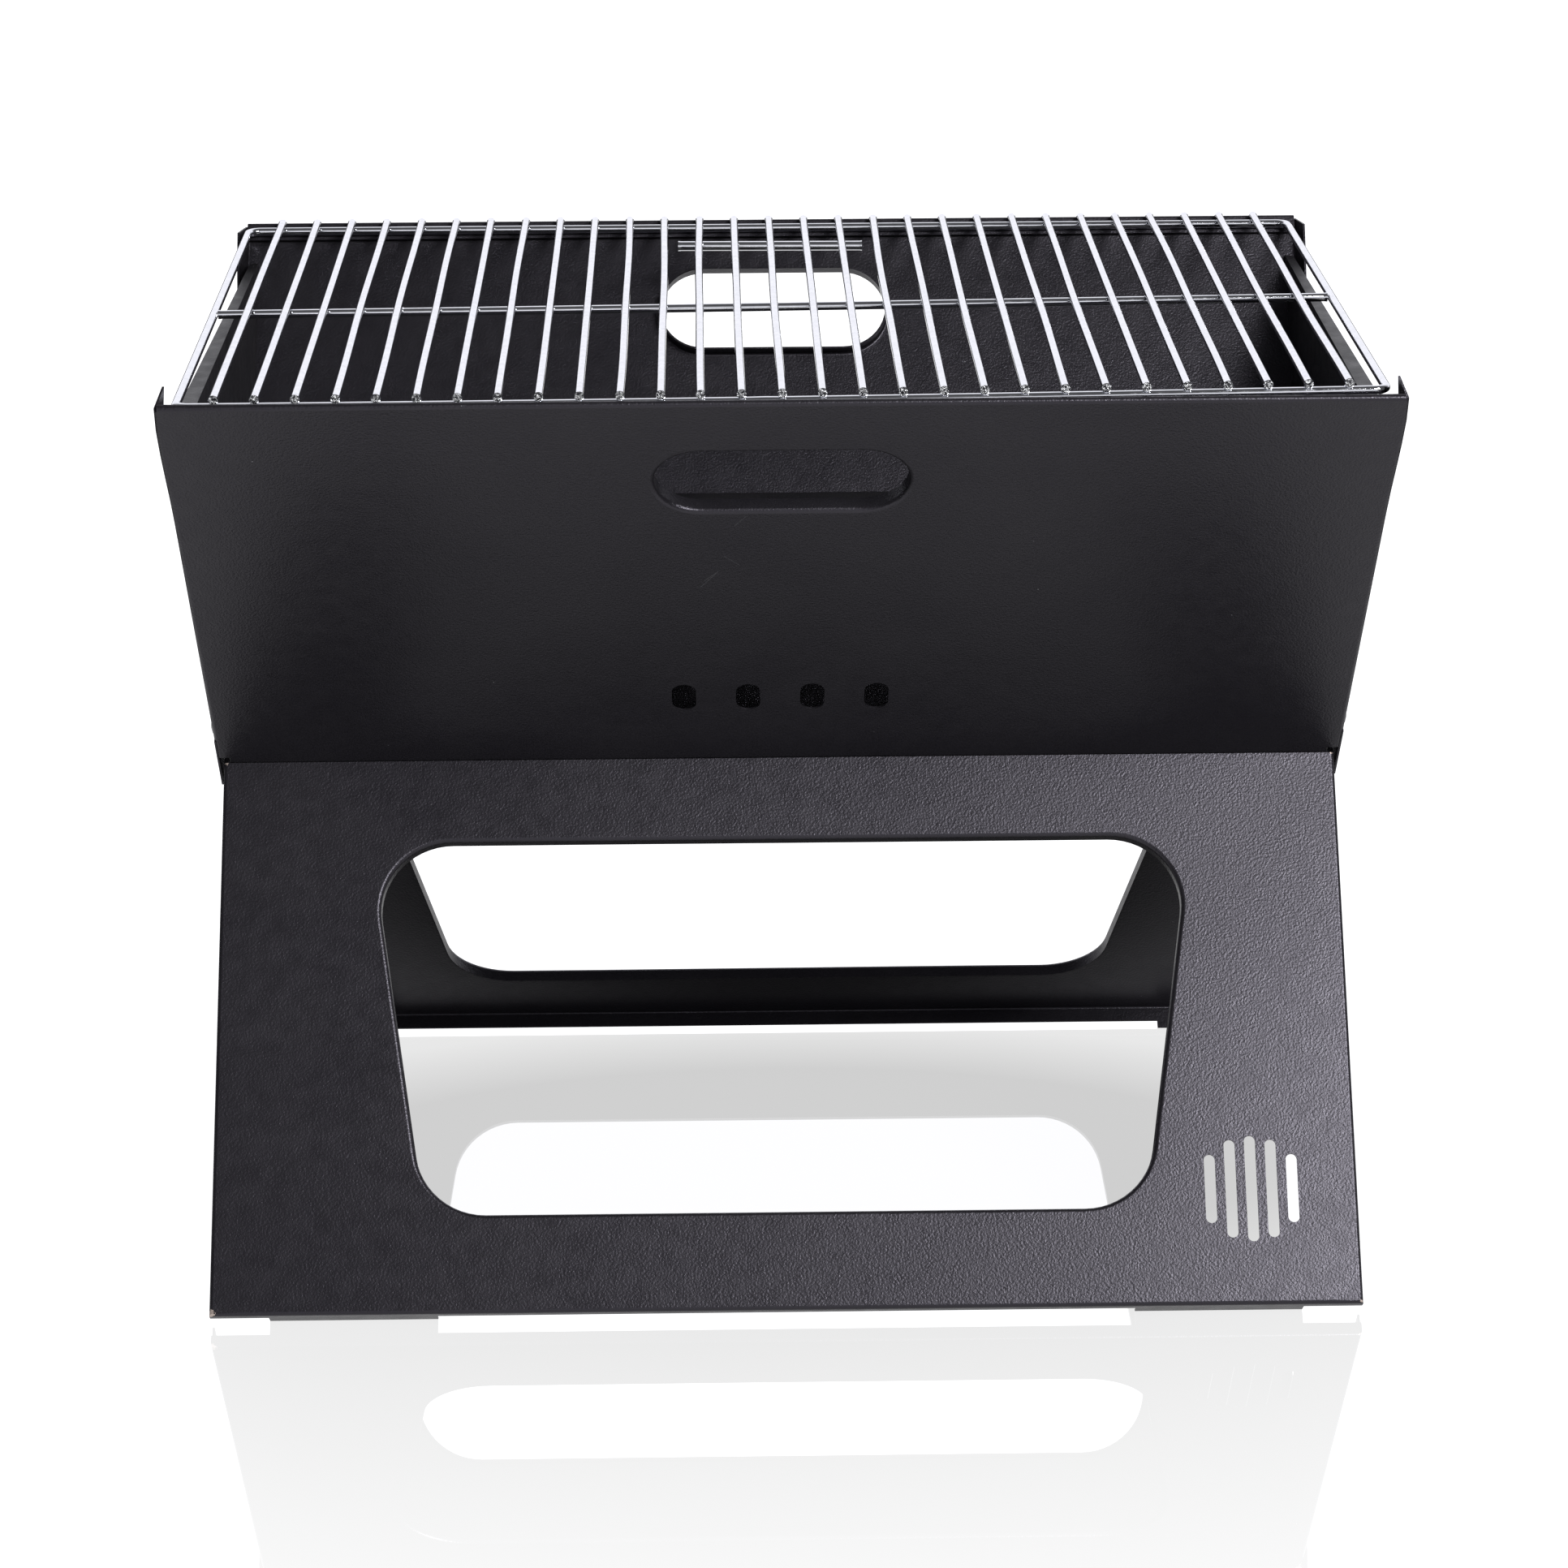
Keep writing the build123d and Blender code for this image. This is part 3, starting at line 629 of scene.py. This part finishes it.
def close_up_ends(points, reach):
    """More points near both ends of a line, so that the burr there is round."""
    start, end = points[0], points[-1]
    along_start = (points[1] - start).normalized()
    along_end = (points[-2] - end).normalized()
    shares = (0.0, 0.12, 0.3, 0.55, 0.8, 1.0)
    head = [start + along_start * reach * share for share in shares]
    tail = [end + along_end * reach * share for share in reversed(shares)]
    return head + points[1:-1] + tail


rods = bmesh.new()
for index in range(ROD_COUNT):
    line = close_up_ends(rod_line(index, ROD_BOW), END_REACH)
    radii = burred(line, ROD_RADIUS, ROD_BURR, ROD_BURR_REACH)
    radii[0] -= END_ROUNDING
    radii[-1] -= END_ROUNDING
    add_wire(rods, line, radii, ROD_SIDES, end_material=1)
bmesh.ops.recalc_face_normals(rods, faces=rods.faces)
finish_piece("grid_rod_wires", rods, "cooking_grid", [CHROME, CUT], ["grid_rods"])


def loop_line():
    """Points round the grid's frame wire, starting in the middle of the front rail."""
    wide, deep, corner = RAIL_HALF_WIDTH, RAIL_HALF_DEPTH, RAIL_CORNER
    points = []
    corners = ((wide, -deep, -90), (wide, deep, 0), (-wide, deep, 90), (-wide, -deep, 180))
    outline = [Vector((0, -deep, RAIL_Z))]
    for x, y, start in corners:
        centre = Vector((x - math.copysign(corner, x), y - math.copysign(corner, y), RAIL_Z))
        for part in range(CORNER_PARTS + 1):
            turn = math.radians(start + 90 * part / CORNER_PARTS)
            outline.append(centre + Vector((math.cos(turn), math.sin(turn), 0)) * corner)
    outline.append(outline[0])
    for first, second in zip(outline, outline[1:]):
        count = max(1, round((second - first).length / RAIL_STEP))
        for part in range(count):
            points.append(first.lerp(second, part / count))
    return [settled(place) for place in points]


frame_wire = bmesh.new()
loop = loop_line()
radii = []
for place in loop:
    near = math.exp(-((place.x - WIRE_JOINT_X) / WIRE_JOINT_WIDTH) ** 2) if place.y < 0 else 0
    radii.append(RAIL_RADIUS + WIRE_JOINT_SWELL * near)
add_wire(frame_wire, loop, radii, BAR_SIDES, closed=True)
bmesh.ops.recalc_face_normals(frame_wire, faces=frame_wire.faces)
finish_piece("grid_loop_wire", frame_wire, "cooking_grid", [CHROME],
             ["grid_frame_wire"])


def straight_line(low, high, step):
    """Points from one place to another."""
    count = max(2, round((high - low).length / step))
    return [low.lerp(high, part / count) for part in range(count + 1)]


def bar_piece(node, name, skew):
    """A straight bar of the grid along X, welded on slightly askew, with cut ends."""
    low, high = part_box(node)
    radius = (high.z - low.z) / 2
    centre = (low + high) / 2
    start = Vector((low.x, centre.y - skew, centre.z))
    end = Vector((high.x, centre.y + skew, centre.z))
    line = [settled(place) for place in straight_line(start, end, RAIL_STEP)]
    line = close_up_ends(line, END_REACH)
    bar = bmesh.new()
    radii = burred(line, radius, BAR_BURR, BAR_BURR_REACH)
    add_wire(bar, line, radii, BAR_SIDES, end_material=1)
    bmesh.ops.recalc_face_normals(bar, faces=bar.faces)
    return finish_piece(name, bar, "cooking_grid", [CHROME, CUT], [node])


bar_piece("grid_middle_bar", "grid_cross_bar", BAR_SKEW)
bar_piece("grid_grip_bar", "grid_lift_bar", GRIP_SKEW)


def add_weld(skin, centre, size):
    """A small squeezed bead where two wires are spot welded."""
    grown = bmesh.ops.create_icosphere(skin, subdivisions=2, radius=1.0)
    lumps = chance.uniform(0, 50)
    for vertex in grown["verts"]:
        rough = 1 + WELD_LUMPS * noise.noise(vertex.co * 1.7 + Vector((lumps, 0, 0)))
        vertex.co = centre + vertex.co * Vector(size) * rough


welds = bmesh.new()
bar_y = middle("grid_middle_bar").y
weld_y = RAIL_HALF_DEPTH - WELD_INSET
for index in range(ROD_COUNT):
    x = rod_x(index)
    for y in (-weld_y, bar_y + BAR_SKEW * x / RAIL_HALF_WIDTH, weld_y):
        size = (chance.uniform(*WELD_HALF_WIDTH), chance.uniform(*WELD_HALF_DEPTH), WELD_HALF_HEIGHT)
        add_weld(welds, settled(Vector((x, y, ROD_Z - ROD_RADIUS))), size)
finish_piece("grid_weld_beads", welds, "cooking_grid", [CHROME], [])


# ---------------------------------------------------------------- charcoal insert and rivets

def plain_piece(node, name, material):
    """A CAD node's own shape as a welded, smooth shaded piece with its finish."""
    body = frame["nodes"][node]["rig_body"]
    return finish_piece(name, cad_skin(node), body, [material], [node])


plain_piece("charcoal_grate", "charcoal_grate_sheet", INSERT)
plain_piece("left_end_plate", "left_end_sheet", INSERT)
plain_piece("right_end_plate", "right_end_sheet", INSERT)
for hidden in ("left_hinge_pin", "right_hinge_pin", "outer_frame_rivets", "inner_frame_rivets",
               "pivot_rivets", "pivot_washers"):
    plain_piece(hidden, hidden + "_steel", ZINC)


# ---------------------------------------------------------------- studio

FLOOR_HALF = 30.0
SURROUND_RADIUS = 28.0
FLOOR_REACH = (0.10, 0.15, 0.42)   # where the floor's glow changes, and how strong it is there: dimmest near the grill, a painted shadow
FLOOR_GLOW_WITH_PAINTED_SHADOW = (0.62, 0.80, 0.97)
BOUNCE_CENTRE_Y = 0.04             # the same for the light that the grill gets from below
BOUNCE_REACH = (0.10, 0.155, 0.60)
BOUNCE_GLOW = (0.05, 0.64, 0.90)
BOUNCE_HALF_WIDTH = 0.38
BOUNCE_SIDE_FADE = 0.25
BOUNCE_SIDE_SHARE = 0.1
WALL_RISE = (0.25, 0.80)           # how far back, as a direction, the light rises to the wall's
FRONT_BAND = (-0.97, -0.80)


def floor_sheet(name, height, shader):
    """A large level square of the studio, which isn't part of the object."""
    mesh = bpy.data.meshes.new(name)
    corners = [(x * FLOOR_HALF, y * FLOOR_HALF, 0) for x, y in ((-1, -1), (1, -1), (1, 1), (-1, 1))]
    mesh.from_pydata(corners, [], [(0, 1, 2, 3)])
    shader.material.cycles.emission_sampling = "NONE"
    mesh.materials.append(shader.material)
    sheet = bpy.data.objects.new(name, mesh)
    sheet.location.z = height
    scene.collection.objects.link(sheet)
    return sheet


def glow_outward(shader, centre_y, distances, strengths):
    """Glow of a floor sheet that changes with the distance from a place under the grill."""
    squeeze = shader.node("ShaderNodeMapping")
    squeeze.inputs["Location"].default_value = (0.0, -centre_y, 0.0)
    squeeze.inputs["Scale"].default_value = (0.5, 1.0, 1.0)
    shader.link(shader.place, squeeze.inputs["Vector"])
    distance = shader.vector("LENGTH", squeeze.outputs["Vector"], (0, 0, 0), "Value")
    near, middle_way, far = distances
    low, medium, high = strengths
    under = shader.spread(distance, near, middle_way, low, medium)
    beyond = shader.spread(distance, middle_way, far, 0.0, high - medium)
    return shader.math("ADD", under, beyond)


def studio_floor():
    """White glossy table, lit from inside, which mirrors the grill faintly and less so further off;
    its glow is dimmed near the grill as a painted shadow.
    """
    shader = Shader("white_acrylic")
    shader.set(Base_Color=colour(0.02, 0.02, 0.02), Roughness=0.0, Specular_IOR_Level=0.5,
               IOR=4.0, Emission_Color=colour(1, 1, 1))
    # The glow is dimmer near the grill: a painted shadow on the table.
    glow = glow_outward(shader, 0.0, FLOOR_REACH, FLOOR_GLOW_WITH_PAINTED_SHADOW)
    shader.link(glow, shader.principled.inputs["Emission Strength"])
    floor = floor_sheet("studio_floor", -0.05 * MM, shader)
    floor.visible_diffuse = False
    floor.visible_glossy = False


def floor_bounce():
    """The dimmer light that the grill itself gets from the table."""
    shader = Shader("table_bounce")
    shader.set(Base_Color=colour(0.02, 0.02, 0.02), Roughness=1.0,
               Emission_Color=colour(1, 1, 1))
    glow = glow_outward(shader, BOUNCE_CENTRE_Y, BOUNCE_REACH, BOUNCE_GLOW)
    across = shader.node("ShaderNodeSeparateXYZ")
    shader.link(shader.place, across.inputs["Vector"])
    aside = shader.math("ABSOLUTE", across.outputs["X"], 0.0)
    dark_from = BOUNCE_HALF_WIDTH + BOUNCE_SIDE_FADE
    share = shader.spread(aside, BOUNCE_HALF_WIDTH, dark_from, 1.0, BOUNCE_SIDE_SHARE)
    shader.link(shader.math("MULTIPLY", glow, share), shader.principled.inputs["Emission Strength"])
    bounce = floor_sheet("table_bounce", -1 * MM, shader)
    bounce.visible_camera = False


def backdrop():
    """White surround, which only a camera sees."""
    shader = Shader("white_surround")
    shader.set(Base_Color=colour(0, 0, 0), Emission_Color=colour(1, 1, 1))
    shader.set(Emission_Strength=1.0)
    shader.material.cycles.emission_sampling = "NONE"
    dome = bmesh.new()
    bmesh.ops.create_icosphere(dome, subdivisions=4, radius=SURROUND_RADIUS)
    mesh = bpy.data.meshes.new("white_surround")
    dome.to_mesh(mesh)
    dome.free()
    mesh.materials.append(shader.material)
    surround = bpy.data.objects.new("white_surround", mesh)
    surround.visible_diffuse = False
    surround.visible_glossy = False
    surround.visible_transmission = False
    surround.visible_shadow = False
    scene.collection.objects.link(surround)


def area_light(name, place, target, width, height, power):
    """A soft box that faces a target."""
    data = bpy.data.lights.new(name, "AREA")
    data.shape = "RECTANGLE"
    data.size = width
    data.size_y = height
    data.energy = power
    light = bpy.data.objects.new(name, data)
    light.location = place
    light.rotation_euler = (Vector(target) - Vector(place)).to_track_quat("-Z", "Y").to_euler()
    scene.collection.objects.link(light)
    return light


def studio_world(front, overhead, back):
    """Light from all round by direction: a bright wall behind, dimmer overhead and in front."""
    world = bpy.data.worlds.new("studio")
    scene.world = world
    world.use_nodes = True
    tree = world.node_tree
    background = next(n for n in tree.nodes if n.type == "BACKGROUND")
    background.inputs["Color"].default_value = colour(0.985, 0.985, 1.04)
    direction = tree.nodes.new("ShaderNodeTexCoord")
    parts = tree.nodes.new("ShaderNodeSeparateXYZ")
    tree.links.new(direction.outputs["Generated"], parts.inputs["Vector"])
    total = None
    for (low, high), start, end in ((WALL_RISE, overhead, back), (FRONT_BAND, front - overhead, 0.0)):
        ramp = tree.nodes.new("ShaderNodeMapRange")
        ramp.interpolation_type = "SMOOTHSTEP"
        ramp.inputs["From Min"].default_value = low
        ramp.inputs["From Max"].default_value = high
        ramp.inputs["To Min"].default_value = start
        ramp.inputs["To Max"].default_value = end
        tree.links.new(parts.outputs["Y"], ramp.inputs["Value"])
        if total is None:
            total = ramp.outputs["Result"]
        else:
            both = tree.nodes.new("ShaderNodeMath")
            tree.links.new(total, both.inputs[0])
            tree.links.new(ramp.outputs["Result"], both.inputs[1])
            total = both.outputs[0]
    tree.links.new(total, background.inputs["Strength"])


studio_floor()
floor_bounce()
backdrop()
studio_world(front=0.90, overhead=0.08, back=1.02)
area_light("key_right", place=(1.00, -1.34, 1.55), target=(0.15, -0.10, 0.12),
           width=0.9, height=0.6, power=50)
area_light("fill_left", place=(-0.50, -1.30, 1.45), target=(-0.05, -0.08, 0.15),
           width=1.3, height=0.7, power=0.3)

CAMERA_PLACE = Vector((-0.021331, -1.694705, 0.764678))
CAMERA_YAW = -0.01370
CAMERA_PITCH = 0.33859
CAMERA_ROLL = -0.00534
camera_data = bpy.data.cameras.new("camera")
camera_data.lens = 101.720
camera_data.sensor_width = 36
camera_data.clip_end = 100
camera = bpy.data.objects.new("camera", camera_data)
turn = (Matrix.Rotation(CAMERA_YAW, 4, "Z")
        @ Matrix.Rotation(math.pi / 2 - CAMERA_PITCH, 4, "X")
        @ Matrix.Rotation(CAMERA_ROLL, 4, "Z"))
camera.matrix_world = Matrix.Translation(CAMERA_PLACE) @ turn
scene.collection.objects.link(camera)
scene.camera = camera

scene.view_settings.view_transform = "Standard"
scene.view_settings.look = "None"
